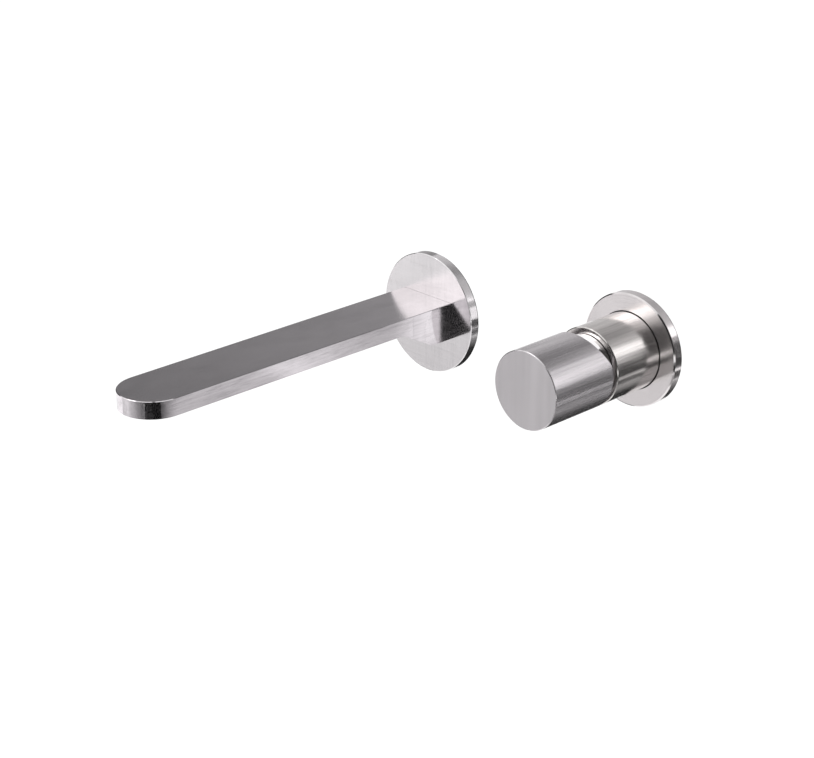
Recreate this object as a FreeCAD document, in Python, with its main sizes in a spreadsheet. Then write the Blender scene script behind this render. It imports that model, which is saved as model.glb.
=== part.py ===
import FreeCAD, Part
import math
import os

import Sketcher
from FreeCAD import Vector

# Wall-mounted basin mixer in brushed stainless steel: a flat spout and a separate tilting knob.
# Frame: +X along the wall from the spout to the knob, +Y into the wall, +Z up.
# The wall's surface is y = 0, and the origin is where the spout's threaded tail enters it.
# A distance out from the wall is called a reach here, so that a reach of 5 lies at y = -5.

doc = FreeCAD.newDocument("BasinMixer")
sheet = doc.addObject("Spreadsheet::Sheet", "Sizes")


class Size:
    """A length that knows its number and the spreadsheet formula that it comes from."""

    def __init__(self, number, formula):
        self.number = number
        self.formula = formula

    def joined(self, sign, other, number):
        right = other.formula if isinstance(other, Size) else repr(other)
        return Size(number, "(%s %s %s)" % (self.formula, sign, right))

    def __add__(self, other):
        return self.joined("+", other, self.number + plain(other))

    def __sub__(self, other):
        return self.joined("-", other, self.number - plain(other))

    def __mul__(self, other):
        return self.joined("*", other, self.number * plain(other))

    def __truediv__(self, other):
        return self.joined("/", other, self.number / plain(other))

    def __neg__(self):
        return Size(-self.number, "(-1 * %s)" % self.formula)


def plain(value):
    """The number of a size or of a bare number."""
    return value.number if isinstance(value, Size) else value


row = 0


def size(alias, number, meaning):
    """Write one driving dimension into the next row of the sheet."""
    global row
    row += 1
    sheet.set("A%d" % row, alias)
    sheet.set("B%d" % row, "%g" % number)
    sheet.set("C%d" % row, meaning)
    sheet.setAlias("B%d" % row, alias)
    return Size(float(number), "Sizes.%s" % alias)


# Clearances
fit_gap = size("FitGap", 0.05, "radial gap of a turned piece in its bore")
run_gap = size("RunGap", 0.08, "radial gap of a piece that turns or tilts in its bearing")
slide_gap = size("SlideGap", 0.2, "flat gap of a piece that slides or turns past another")
thread_gap = size("ThreadGap", 0.1, "radial gap that stands for the threads' play")

# Spout arm
spout_reach = size("SpoutReach", 190, "wall to the tip of the spout")
arm_width = size("ArmWidth", 32.6, "width of the flat bar")
arm_thickness = size("ArmThickness", 8.3, "thickness of the flat bar")
neck_height = size("NeckHeight", 18.4, "height of the neck block at the flange")
neck_reach = size("NeckReach", 18.5, "wall to the end of the full-height neck")
slant_length = size("SlantLength", 19, "length of the slanted underside between neck and bar")
arm_edge = size("ArmEdge", 0.25, "chamfer that breaks the bar's top edges")
top_wall = size("TopWall", 1.5, "wall left above the waterway")

# Waterway in the arm
channel_width = size("ChannelWidth", 22, "width of the milled waterway")
cover_width = size("CoverWidth", 26, "width of the plate that closes the waterway")
cover_thickness = size("CoverThickness", 1.5, "thickness of that plate")
cover_margin = size("CoverMargin", 3, "bar left between the slant and the plate")
cover_tip_margin = size("CoverTipMargin", 2, "bar left between the plate and the aerator's bore")
passage_width = size("PassageWidth", 12, "width of the passage from the neck's bore to the waterway")

# Aerator under the tip
aerator_radius = size("AeratorRadius", 9.2, "radius of the aerator's bore")
aerator_roof = size("AeratorRoof", 2, "wall left above the aerator's bore")
aerator_seal_height = size("AeratorSealHeight", 1, "height of the flat ring")
aerator_seal_wall = size("AeratorSealWall", 2.2, "width of the flat ring")
screen_height = size("ScreenHeight", 0.6, "thickness of the perforated disc")
screen_hole = size("ScreenHole", 0.7, "radius of the disc's holes")
screen_circle = size("ScreenCircle", 4.6, "radius of the circle that the disc's outer holes lie on")
screen_inner_circle = size("ScreenInnerCircle", 2.3, "radius of the inner circle of holes")
honeycomb_cell = size("HoneycombCell", 2.5, "width across the flats of a honeycomb cell")
honeycomb_web = size("HoneycombWeb", 0.45, "web between two honeycomb cells")
honeycomb_height = size("HoneycombHeight", 2.4, "height of the honeycomb")
aerator_wall = size("AeratorWall", 1.5, "wall of the aerator's ring")

# Adapter that carries the spout
tail_radius = size("TailRadius", 10.45, "outer radius of the G1/2 tail")
tail_length = size("TailLength", 14, "length of the tail behind the wall's surface")
collar_radius = size("CollarRadius", 13, "radius of the adapter's collar")
collar_flats = size("CollarFlats", 23, "width across the collar's wrench flats")
collar_height = size("CollarHeight", 2, "thickness of the collar")
spigot_radius = size("SpigotRadius", 6.4, "radius of the spigot inside the neck")
spigot_length = size("SpigotLength", 16.5, "length of the spigot in front of the collar")
adapter_bore = size("AdapterBore", 4, "radius of the water bore through the adapter")
spigot_ring_reach = size("SpigotRingReach", 5.5, "collar to the first O-ring's centre")
spigot_ring_spacing = size("SpigotRingSpacing", 8.5, "distance between the two O-rings")
spigot_ring_wire = size("SpigotRingWire", 0.65, "radius of the O-rings' wire")
lock_radius = size("LockRadius", 2.1, "radius of the spout's grub screw")
lock_height = size("LockHeight", 2.2, "length of the spout's grub screw")
lock_key = size("LockKey", 2, "width across the flats of the hexagon key")

# Spout flange
flange_thickness = size("FlangeThickness", 5.5, "wall to the front of both flanges")
gasket_height = size("GasketHeight", 0.8, "thickness of the gaskets behind the flanges")
gasket_inset = size("GasketInset", 0.5, "how far a gasket stays inside its flange's rim")
gasket_width = size("GasketWidth", 3.5, "width of the spout flange's gasket")
spout_flange_radius = size("SpoutFlangeRadius", 30, "radius of the spout's flange")
flange_edge = size("FlangeEdge", 0.3, "chamfer on the spout flange's front edge")

# Handle flange
handle_offset = size("HandleOffset", 128, "spout axis to knob axis, along the wall")
handle_rise = size("HandleRise", 17, "how far the knob's axis is above the spout's")
flange_overhang = size("FlangeOverhang", 8.5, "how far the handle's flange stands out past the sleeve")
handle_flange_edge = size("HandleFlangeEdge", 0.6, "chamfer on the handle flange's front edge")
handle_flange_rim = size("HandleFlangeRim", 2, "wall of the handle flange's rim")
handle_flange_face = size("HandleFlangeFace", 1.7, "wall of the handle flange's face")
shadow_gap = size("ShadowGap", 0.4, "radial gap between the sleeve and its flange")
flange_ring_wire = size("FlangeRingWire", 0.6, "radius of the wire of the ring in the flange's hole")

# Valve body
plate_gap = size("PlateGap", 0.5, "radial gap between the wall plate and its flange's rim")
plate_height = size("PlateHeight", 3, "thickness of the wall plate")
screw_margin = size("ScrewMargin", 2.8, "wall plate's rim to the axes of the wall screws' holes")
screw_hole = size("ScrewHole", 1.9, "radius of the wall screws' holes")
screw_sink = size("ScrewSink", 2.7, "radius of the sunk holes' mouths")
screw_count = 3
barrel_wall = size("BarrelWall", 2.2, "wall of the barrel outside the ring nut's thread")
shank_radius = size("ShankRadius", 14.5, "radius of the shank inside the wall")
shank_length = size("ShankLength", 6, "length of the shank inside the wall")
port_circle = size("PortCircle", 5.6, "radius of the circle of the three ports")
port_thread = size("PortThread", 3.5, "radius of the M8 x 1 ports' threaded holes")
port_thread_length = size("PortThreadLength", 9, "depth of the threaded holes")
port_bore = size("PortBore", 1.7, "radius of the water ports")
port_count = 3

# Sleeve
sleeve_wall = size("SleeveWall", 1.4, "wall of the sleeve")
sleeve_lip = size("SleeveLip", 1.2, "thickness of the sleeve's front lip")
lip_width = size("LipWidth", 1.15, "how far the sleeve's front lip stands in from its bore")
sleeve_edge = size("SleeveEdge", 0.4, "chamfer on the sleeve's front edge")
mouth_rise = size("MouthRise", 2, "ring nut to the sleeve's mouth")
barrel_gap = size("BarrelGap", 0.1, "radial gap between barrel and sleeve")
sleeve_ring_wire = size("SleeveRingWire", 0.7, "radius of the wire of the sleeve's O-rings")
sleeve_ring_reach = size("SleeveRingReach", 7, "wall to the rear O-ring in the sleeve")
sleeve_ring_setback = size("SleeveRingSetback", 4, "front O-ring to the barrel's inner shoulder")
groove_squeeze = size("GrooveSqueeze", 0.03, "how far an O-ring stays off its walls")

# Cartridge
seat_reach = size("SeatReach", 11.75, "wall to the cartridge's seat")
cartridge_radius = size("CartridgeRadius", 12.5, "outer radius of the cartridge's housing")
housing_wall = size("HousingWall", 1.9, "wall of the housing round its discs")
housing_floor = size("HousingFloor", 1.8, "thickness of the housing's floor")
housing_setback = size("HousingSetback", 0.6, "front of the lever guide to the front of the housing")
housing_boss_length = size("HousingBossLength", 4, "length of the housing's front boss")
housing_boss_wall = size("HousingBossWall", 2.3, "wall of that boss")
seal_wall = size("SealWall", 1, "wall of the three base seals")
disc_height = size("DiscHeight", 2.6, "thickness of each ceramic disc")
disc_rest = size("DiscRest", 1.05, "how far the moving disc sits above centre when closed")
disc_margin = size("DiscMargin", 0.75, "room round the disc carrier at the end of its slide")
disc_inset = size("DiscInset", 0.2, "how far the moving disc stays inside its carrier's rim")
port_lap = size("PortLap", 0.3, "how far the mixing recess stays off the closed ports")
lobe_half = size("LobeHalf", 4.3, "half the width of the mixing recess over the outlet port")
mixing_depth = size("MixingDepth", 1.4, "depth of the mixing recess")
carrier_height = size("CarrierHeight", 2.6, "thickness of the disc carrier")
cavity_gap = size("CavityGap", 0.2, "radial gap between the fixed disc and the housing")
guide_gap = size("GuideGap", 0.3, "radial gap between the lever guide's flange and the housing")
guide_height = size("GuideHeight", 2, "thickness of the lever guide's flange")
guide_boss_radius = size("GuideBossRadius", 7, "radius of the lever guide's boss")
guide_nose = size("GuideNose", 2.6, "pivot to the front of the lever guide")
nut_wall = size("NutWall", 1.7, "how far the ring nut stands out past the cartridge")
nut_engagement = size("NutEngagement", 5, "depth of the ring nut's thread in the barrel")
nut_proud = size("NutProud", 1.5, "how far the ring nut stands out of the barrel")
nut_slot = size("NutSlot", 2.4, "width of the slots in the ring nut")
nut_slot_depth = size("NutSlotDepth", 1.4, "depth of those slots")
nut_slot_count = 4
cover_proud = size("CoverProud", 4.4, "how far the cartridge's cover stands out of the sleeve")
cover_gap = size("CoverGap", 0.35, "radial gap between that cover and the sleeve's mouth")
cover_wall = size("CoverWall", 1.3, "wall of that cover")
cover_face = size("CoverFace", 1.4, "thickness of that cover's front")
cover_bore = size("CoverBore", 8.6, "radius of the hole for the lever in that cover")
cover_slope = size("CoverSlope", 2.2, "shoulder turned at 45 degrees round that cover's front")
cover_hollow = size("CoverHollow", 1.4, "slope inside that cover, behind the shoulder")

# Lever
ball_arm = size("BallArm", 6, "pivot to the centre of the lever's ball")
ball_radius = size("BallRadius", 1.7, "radius of the lever's ball")
socket_floor = size("SocketFloor", 0.4, "disc carrier left under the ball's socket")
socket_gap = size("SocketGap", 0.15, "gap between the ball and the carrier's socket")
lever_neck = size("LeverNeck", 1.2, "radius of the lever between its block and its ball")
lever_half = size("LeverHalf", 2.9, "half the width of the lever's square block")
lever_side_gap = size("LeverSideGap", 0.15, "gap at each side of the lever in its guide")
block_back = size("BlockBack", 2.4, "how far the lever's block reaches behind the pivot")
slot_half_height = size("SlotHalfHeight", 5, "half the height of the lever's slot in the guide")
pin_radius = size("PinRadius", 1.25, "radius of the pivot pin")
pin_setback = size("PinSetback", 0.6, "how far the pin's ends lie inside the guide's boss")

# Knob
knob_length = size("KnobLength", 36.4, "length of the knob")
knob_gap = size("KnobGap", 3.1, "gap between the sleeve and the knob")
knob_wall = size("KnobWall", 6.5, "wall of the knob round its insert")
rear_wall = size("RearWall", 1.4, "wall of the knob round the cartridge's cover")
knob_edge = size("KnobEdge", 0.35, "chamfer on the knob's front edge")
relief_rise = size("ReliefRise", 6.1, "height above the axis where the knob's oblique cut begins")
relief_angle = size("ReliefAngle", 27, "angle of the knob's oblique cut, in degrees")
insert_front = size("InsertFront", 4, "knob face to the end of the rear bore")
insert_setback = size("InsertSetback", 7, "knob's rear edge to the insert")
insert_length = size("InsertLength", 22, "length of the insert")
lever_engagement = size("LeverEngagement", 23.4, "knob's rear edge to the front end of the lever")
knob_lock_setback = size("KnobLockSetback", 16, "knob's rear edge to the grub screw's axis")
knob_lock_radius = size("KnobLockRadius", 2.5, "radius of the knob's grub screw")
knob_lock_length = size("KnobLockLength", 8, "length of the knob's grub screw")
plug_height = size("PlugHeight", 2.5, "length of the plug over the knob's grub screw")

doc.recompute()


def plane_of(body, role):
    """One of the body's own origin planes or axes."""
    return next(feature for feature in body.Origin.OriginFeatures if feature.Role == role)


def new_body(label, on_handle_axis=False):
    """An empty piece, placed on the spout's axis or on the knob's."""
    body = doc.addObject("PartDesign::Body", label)
    body.Label = label
    if on_handle_axis:
        bind(body, "Placement.Base.x", handle_offset)
        bind(body, "Placement.Base.z", handle_rise)
    return body


def bind(thing, path, value):
    """Tie one property to a size of the sheet."""
    thing.setExpression(path, value.formula)


def new_sketch(body, name, role, offset=None):
    """A sketch on one of the body's origin planes, moved off it by a size."""
    sketch = body.newObject("Sketcher::SketchObject", name)
    sketch.AttachmentSupport = (plane_of(body, role), [""])
    sketch.MapMode = "FlatFace"
    if offset is not None:
        bind(sketch, "AttachmentOffset.Base.z", offset)
    return sketch


def hold_point(sketch, geometry, corner, x, y):
    """Hold one point of a sketch at its two sizes from the origin."""
    for kind, axis, value in (("DistanceX", -2, x), ("DistanceY", -1, y)):
        if isinstance(value, Size):
            held = Sketcher.Constraint(kind, -1, 1, geometry, corner, value.number)
            index = sketch.addConstraint(held)
            bind(sketch, "Constraints[%d]" % index, value)
        else:
            sketch.addConstraint(Sketcher.Constraint("PointOnObject", geometry, corner, axis))


def add_polygon(sketch, points):
    """A closed outline of straight lines. A coordinate is a size, or 0 for on the axis."""
    count = len(points)
    first = sketch.GeometryCount
    corners = [Vector(plain(x), plain(y), 0) for x, y in points]
    for index in range(count):
        start = corners[index]
        end = corners[(index + 1) % count]
        sketch.addGeometry(Part.LineSegment(start, end), False)
    for index in range(count):
        following = first + (index + 1) % count
        sketch.addConstraint(Sketcher.Constraint("Coincident", first + index, 2, following, 1))
    for index, (x, y) in enumerate(points):
        hold_point(sketch, first + index, 1, x, y)


def add_circle(sketch, x, y, radius):
    """A circle held by its centre and its radius."""
    centre = Vector(plain(x), plain(y), 0)
    round_line = Part.Circle(centre, Vector(0, 0, 1), radius.number)
    index = sketch.addGeometry(round_line, False)
    hold_point(sketch, index, 3, x, y)
    held = sketch.addConstraint(Sketcher.Constraint("Radius", index, radius.number))
    bind(sketch, "Constraints[%d]" % held, radius)


def add_half_circle(sketch, radius, y, downwards, start, end):
    """A half circle about the Y axis that joins the ends of two lines."""
    centre = Vector(0, plain(y), 0)
    circle = Part.Circle(centre, Vector(0, 0, 1), radius.number)
    turn = math.pi if downwards else 0
    index = sketch.addGeometry(Part.ArcOfCircle(circle, turn, turn + math.pi), False)
    sketch.addConstraint(Sketcher.Constraint("Coincident", index, 1, *start))
    sketch.addConstraint(Sketcher.Constraint("Coincident", index, 2, *end))
    held = sketch.addConstraint(Sketcher.Constraint("DistanceY", -1, 1, index, 3, plain(y)))
    bind(sketch, "Constraints[%d]" % held, y)


def add_slot(sketch, half, near, far, round_near):
    """A plan outline along -Y with a round far end and a round or a square near end."""
    far_centre = -(far - half)
    near_centre = -(near + half) if round_near else -near
    sides = ((half, near_centre, far_centre), (-half, far_centre, near_centre))
    first = sketch.GeometryCount
    for x, start, end in sides:
        line = Part.LineSegment(Vector(x.number, start.number, 0), Vector(x.number, end.number, 0))
        sketch.addGeometry(line, False)
    for index, (x, start, end) in enumerate(sides):
        hold_point(sketch, first + index, 1, x, start)
        hold_point(sketch, first + index, 2, x, end)
    add_half_circle(sketch, half, far_centre, True, (first + 1, 1), (first, 2))
    if round_near:
        add_half_circle(sketch, half, near_centre, False, (first, 1), (first + 1, 2))
    else:
        corner = Vector(half.number, near_centre.number, 0)
        other = Vector(-half.number, near_centre.number, 0)
        closing = sketch.addGeometry(Part.LineSegment(other, corner), False)
        sketch.addConstraint(Sketcher.Constraint("Coincident", closing, 1, first + 1, 2))
        sketch.addConstraint(Sketcher.Constraint("Coincident", closing, 2, first, 1))


def add_rectangle(sketch, half_x, low, high):
    """A rectangle, even about the sketch's upright axis."""
    add_polygon(sketch, ((half_x, low), (half_x, high), (-half_x, high), (-half_x, low)))


def add_hexagon(sketch, x, y, flats):
    """A hexagon whose flats face along the sketch's X axis."""
    apothem = flats / 2
    corner = flats / math.sqrt(3)
    half_side = corner / 2
    points = (
        (x + apothem, y - half_side),
        (x + apothem, y + half_side),
        (x + flats * 0, y + corner),
        (x - apothem, y + half_side),
        (x - apothem, y - half_side),
        (x + flats * 0, y - corner),
    )
    add_polygon(sketch, points)


def turned(body, name, points, groove=False):
    """A turned form about the body's Y axis. Its points are (radius, reach)."""
    sketch = new_sketch(body, name + "Profile", "XY_Plane")
    corners = [(radius, -reach if isinstance(reach, Size) else reach) for radius, reach in points]
    add_polygon(sketch, corners)
    kind = "PartDesign::Groove" if groove else "PartDesign::Revolution"
    feature = body.newObject(kind, name)
    feature.Profile = sketch
    feature.ReferenceAxis = (plane_of(body, "Y_Axis"), [""])
    feature.Angle = 360
    return feature


def turned_upright(body, name, points):
    """A turned form about the body's Z axis. Its points are (radius, height)."""
    sketch = new_sketch(body, name + "Profile", "XZ_Plane")
    add_polygon(sketch, points)
    feature = body.newObject("PartDesign::Revolution", name)
    feature.Profile = sketch
    feature.ReferenceAxis = (plane_of(body, "Z_Axis"), [""])
    feature.Angle = 360
    return feature


def pushed(body, kind, name, sketch, length, reverse=False):
    """A Pad or a Pocket of one length. With no length a Pocket goes through all."""
    feature = body.newObject("PartDesign::" + kind, name)
    feature.Profile = sketch
    feature.Reversed = reverse
    if length is None:
        feature.Type = "ThroughAll"
    else:
        bind(feature, "Length", length)
    return feature


def cut_through_sides(body, name, points):
    """Mill a side profile away across the whole width. Its points are (y, z)."""
    sketch = new_sketch(body, name + "Profile", "YZ_Plane")
    add_polygon(sketch, points)
    feature = body.newObject("PartDesign::Pocket", name)
    feature.Profile = sketch
    feature.Type = "ThroughAll"
    feature.SideType = "Symmetric"
    return feature


def polar_copies(body, name, original, axis, count):
    """Repeat a feature evenly round an axis of the body."""
    pattern = body.newObject("PartDesign::PolarPattern", name)
    pattern.Originals = [original]
    pattern.Axis = (plane_of(body, axis), [""])
    pattern.Angle = 360
    pattern.Occurrences = count
    body.Tip = pattern
    return pattern


def chamfer_edges(body, name, base, width, wanted):
    """Break the edges of a feature that a test picks out."""
    doc.recompute()
    names = ["Edge%d" % (i + 1) for i, edge in enumerate(base.Shape.Edges) if wanted(edge)]
    if not names:
        raise RuntimeError("%s: no edge found for %s" % (body.Label, name))
    feature = body.newObject("PartDesign::Chamfer", name)
    feature.Base = (base, names)
    bind(feature, "Size", width)
    return feature


def is_round_edge(edge, radius, y):
    """True for a full circle about the Y axis with this radius, in the plane of this y."""
    curve = edge.Curve
    if curve.TypeId != "Part::GeomCircle":
        return False
    return abs(curve.Radius - radius) < 1e-4 and abs(curve.Center.y - y) < 1e-4


def ring_group(label, wire, radius, reaches, on_handle_axis=False):
    """O-rings about the Y axis, at one reach or more, as one node. Their wire has eight flat sides."""
    half_turn_of_side = math.pi / 8
    rings = []
    for index, reach in enumerate(reaches):
        section = doc.addObject("Part::RegularPolygon", "%s_section_%d" % (label, index + 1))
        section.Polygon = 8
        turn = FreeCAD.Rotation(Vector(0, 0, 1), math.degrees(half_turn_of_side))
        section.Placement = FreeCAD.Placement(Vector(0, 0, 0), turn)
        bind(section, "Circumradius", wire / math.cos(half_turn_of_side))
        bind(section, "Placement.Base.x", radius)
        bind(section, "Placement.Base.y", -reach)
        ring = doc.addObject("Part::Revolution", "%s_ring_%d" % (label, index + 1))
        ring.Source = section
        ring.Axis = Vector(0, 1, 0)
        ring.Angle = 360
        ring.Solid = True
        rings.append(ring)
    group = doc.addObject("Part::Compound", label)
    group.Label = label
    group.Links = rings
    if on_handle_axis:
        bind(group, "Placement.Base.x", handle_offset)
        bind(group, "Placement.Base.z", handle_rise)
    return group


pieces = []

# Places that the spout's pieces share
arm_top = neck_height / 2
arm_bottom = arm_top - arm_thickness
half_width = arm_width / 2
tip_centre = spout_reach - half_width
bar_start = neck_reach + slant_length
neck_back = collar_height
spigot_bore = spigot_radius + fit_gap
spigot_bore_end = neck_back + spigot_length + slide_gap
lock_reach = neck_back + spigot_ring_reach + spigot_ring_spacing / 2
channel_top = arm_top - top_wall
channel_floor = arm_bottom + cover_thickness
cover_near = bar_start + cover_margin
cover_far = tip_centre - aerator_radius - cover_tip_margin
ledge = (cover_width - channel_width) / 2

# Spout arm: milled from one flat bar. The neck keeps the bar's full height, and the underside is
# cut away in front of it. A waterway is milled from below and meets the spigot's bore in the neck.
arm = new_body("spout_arm")
plan = new_sketch(arm, "ArmPlan", "XY_Plane", -arm_top)
add_slot(plan, half_width, neck_back, spout_reach, round_near=False)
pushed(arm, "Pad", "ArmBlock", plan, neck_height)
cut_through_sides(arm, "UndersideCut", (
    (-neck_reach, -arm_top),
    (-bar_start, arm_bottom),
    (-(spout_reach + arm_edge), arm_bottom),
    (-(spout_reach + arm_edge), -(arm_top + arm_edge)),
    (-neck_reach, -(arm_top + arm_edge)),
))
spigot_hole = new_sketch(arm, "SpigotHole", "XZ_Plane", neck_back)
add_circle(spigot_hole, 0, 0, spigot_bore)
pushed(arm, "Pocket", "SpigotBore", spigot_hole, spigot_bore_end - neck_back, reverse=True)
passage = new_sketch(arm, "PassageSection", "XZ_Plane", spigot_bore_end - slide_gap)
add_rectangle(passage, passage_width / 2, channel_floor + ledge, channel_top)
passage_end = cover_near + ledge + channel_width / 2
pushed(arm, "Pocket", "Passage", passage, passage_end - spigot_bore_end + slide_gap, reverse=True)
cover_plan = new_sketch(arm, "CoverPlan", "XY_Plane", arm_bottom)
add_slot(cover_plan, cover_width / 2, cover_near, cover_far, round_near=True)
pushed(arm, "Pocket", "CoverRecess", cover_plan, cover_thickness, reverse=True)
channel_plan = new_sketch(arm, "ChannelPlan", "XY_Plane", channel_floor)
add_slot(channel_plan, channel_width / 2, cover_near + ledge, cover_far - ledge, round_near=True)
pushed(arm, "Pocket", "Channel", channel_plan, channel_top - channel_floor, reverse=True)
outlet_plan = new_sketch(arm, "OutletPlan", "XY_Plane", arm_bottom)
add_circle(outlet_plan, 0, -tip_centre, aerator_radius)
outlet_depth = arm_thickness - aerator_roof
pushed(arm, "Pocket", "AeratorBore", outlet_plan, outlet_depth, reverse=True)
link_section = new_sketch(arm, "LinkSection", "XZ_Plane", cover_far - ledge * 2)
add_rectangle(link_section, passage_width / 2, channel_floor + ledge, channel_top)
pushed(arm, "Pocket", "OutletLink", link_section, tip_centre - cover_far + ledge * 2, reverse=True)
lock_plan = new_sketch(arm, "LockHole", "XY_Plane", -arm_top)
add_circle(lock_plan, 0, -lock_reach, lock_radius + fit_gap)
last = pushed(arm, "Pocket", "LockBore", lock_plan, arm_top, reverse=True)
top_level = arm_top.number
chamfer_edges(arm, "BrokenEdges", last, arm_edge, lambda edge: (
    abs(edge.BoundBox.ZMin - top_level) < 1e-4
    and abs(edge.BoundBox.ZMax - top_level) < 1e-4
    and edge.BoundBox.YMin < -neck_back.number - 1
))
pieces.append(arm)

# Waterway cover: a laser-welded plate let into the underside of the bar.
cover = new_body("waterway_cover")
plate_plan = new_sketch(cover, "PlatePlan", "XY_Plane", arm_bottom)
plate_half = cover_width / 2 - fit_gap
add_slot(plate_plan, plate_half, cover_near + fit_gap, cover_far - fit_gap, round_near=True)
pushed(cover, "Pad", "Plate", plate_plan, cover_thickness)
pieces.append(cover)

# Aerator: a ring nut with a honeycomb outlet, a perforated disc over it and a flat seal.
seal_top = outlet_depth
seal_bottom = seal_top - aerator_seal_height
screen_bottom = seal_bottom - screen_height
insert_outer = aerator_radius - thread_gap
cell_pitch = honeycomb_cell + honeycomb_web


def aerator_piece(label):
    """An empty piece at the centre of the aerator's bore, on the bar's underside."""
    body = new_body(label)
    bind(body, "Placement.Base.y", -tip_centre)
    bind(body, "Placement.Base.z", arm_bottom)
    return body


aerator = aerator_piece("aerator_body")
turned_upright(aerator, "Ring", (
    (0, 0),
    (insert_outer, 0),
    (insert_outer, screen_bottom),
    (insert_outer - aerator_wall, screen_bottom),
    (insert_outer - aerator_wall, honeycomb_height),
    (0, honeycomb_height),
))
centre_cell = new_sketch(aerator, "CentreCell", "XY_Plane")
add_hexagon(centre_cell, honeycomb_cell * 0, honeycomb_cell * 0, honeycomb_cell)
pushed(aerator, "Pocket", "CentreCut", centre_cell, honeycomb_height, reverse=True)
for name, x, y in (
    ("Inner", cell_pitch, cell_pitch * 0),
    ("Outer", cell_pitch * 2, cell_pitch * 0),
    ("Between", cell_pitch * 1.5, cell_pitch * (math.sqrt(3) / 2)),
):
    cell = new_sketch(aerator, name + "Cell", "XY_Plane")
    add_hexagon(cell, x, y, honeycomb_cell)
    cell_cut = pushed(aerator, "Pocket", name + "Cut", cell, honeycomb_height, reverse=True)
    polar_copies(aerator, name + "Cells", cell_cut, "Z_Axis", 6)
pieces.append(aerator)

screen = aerator_piece("aerator_screen")
turned_upright(screen, "Disc", (
    (0, screen_bottom),
    (insert_outer, screen_bottom),
    (insert_outer, seal_bottom),
    (0, seal_bottom),
))
for name, circle, count in (("InnerHole", screen_inner_circle, 6), ("OuterHole", screen_circle, 12)):
    hole = new_sketch(screen, name, "XY_Plane", screen_bottom)
    add_circle(hole, circle, 0, screen_hole)
    hole_cut = pushed(screen, "Pocket", name + "Cut", hole, screen_height, reverse=True)
    polar_copies(screen, name + "Ring", hole_cut, "Z_Axis", count)
pieces.append(screen)

seal = aerator_piece("aerator_seal")
turned_upright(seal, "FlatRing", (
    (insert_outer - aerator_seal_wall, seal_bottom),
    (insert_outer, seal_bottom),
    (insert_outer, seal_top),
    (insert_outer - aerator_seal_wall, seal_top),
))
pieces.append(seal)

# Spout adapter: turned brass. Its tail screws into the wall's elbow, and the spout slides over its
# spigot. A V groove takes the point of the grub screw.
groove_floor = spigot_bore - (spigot_ring_wire + groove_squeeze) * 2
ring_half = spigot_ring_wire + groove_squeeze
first_ring = collar_height + spigot_ring_reach
second_ring = first_ring + spigot_ring_spacing
spigot_end = collar_height + spigot_length
lock_groove = spigot_radius - lock_radius / 2
adapter = new_body("spout_adapter")
turned(adapter, "Adapter", (
    (adapter_bore, -tail_length),
    (tail_radius, -tail_length),
    (tail_radius, 0),
    (collar_radius, 0),
    (collar_radius, collar_height),
    (spigot_radius, collar_height),
    (spigot_radius, first_ring - ring_half),
    (groove_floor, first_ring - ring_half),
    (groove_floor, first_ring + ring_half),
    (spigot_radius, first_ring + ring_half),
    (spigot_radius, lock_reach - lock_radius / 2),
    (lock_groove, lock_reach),
    (spigot_radius, lock_reach + lock_radius / 2),
    (spigot_radius, second_ring - ring_half),
    (groove_floor, second_ring - ring_half),
    (groove_floor, second_ring + ring_half),
    (spigot_radius, second_ring + ring_half),
    (spigot_radius, spigot_end),
    (adapter_bore, spigot_end),
))
for side, name in ((1, "Upper"), (-1, "Lower")):
    flat = new_sketch(adapter, name + "Flat", "XZ_Plane")
    near = collar_flats / 2 * side
    far = collar_radius * 1.5 * side
    add_rectangle(flat, collar_radius, near, far)
    pushed(adapter, "Pocket", name + "FlatCut", flat, collar_height, reverse=True)
pieces.append(adapter)

ring_centre = groove_floor + groove_squeeze + spigot_ring_wire
pieces.append(ring_group(
    "spout_adapter_orings", spigot_ring_wire, ring_centre, (first_ring, second_ring)))


def grub_screw(label, axis_reach, top, length, radius, key, on_handle_axis=False):
    """An upright grub screw with a hexagon socket in its lower end."""
    body = new_body(label, on_handle_axis)
    bind(body, "Placement.Base.y", -axis_reach)
    section = new_sketch(body, "ScrewSection", "XY_Plane", top - length)
    add_circle(section, 0, 0, radius)
    pushed(body, "Pad", "Screw", section, length)
    socket = new_sketch(body, "KeySection", "XY_Plane", top - length)
    add_hexagon(socket, key * 0, key * 0, key)
    pushed(body, "Pocket", "KeySocket", socket, length / 2, reverse=True)
    return body


pieces.append(grub_screw(
    "spout_grub_screw", lock_reach, -spigot_radius, lock_height, lock_radius, lock_key))

# Spout flange: a turned disc with a close rectangular hole for the neck and a recess for the collar.
spout_flange = new_body("spout_flange")
recess_radius = collar_radius + slide_gap
turned(spout_flange, "Disc", (
    (0, collar_height + slide_gap),
    (recess_radius, collar_height + slide_gap),
    (recess_radius, gasket_height),
    (spout_flange_radius, gasket_height),
    (spout_flange_radius, flange_thickness),
    (0, flange_thickness),
))
neck_hole = new_sketch(spout_flange, "NeckHole", "XZ_Plane", flange_thickness)
neck_half = arm_top + fit_gap
add_rectangle(neck_hole, half_width + fit_gap, -neck_half, neck_half)
hole_cut = pushed(spout_flange, "Pocket", "NeckHoleCut", neck_hole, None)
chamfer_edges(spout_flange, "FrontEdge", hole_cut, flange_edge, lambda edge: is_round_edge(
    edge, spout_flange_radius.number, -flange_thickness.number))
pieces.append(spout_flange)

spout_gasket = new_body("spout_flange_gasket")
turned(spout_gasket, "Ring", (
    (spout_flange_radius - gasket_inset - gasket_width, 0),
    (spout_flange_radius - gasket_inset, 0),
    (spout_flange_radius - gasket_inset, gasket_height),
    (spout_flange_radius - gasket_inset - gasket_width, gasket_height),
))
pieces.append(spout_gasket)

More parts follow.
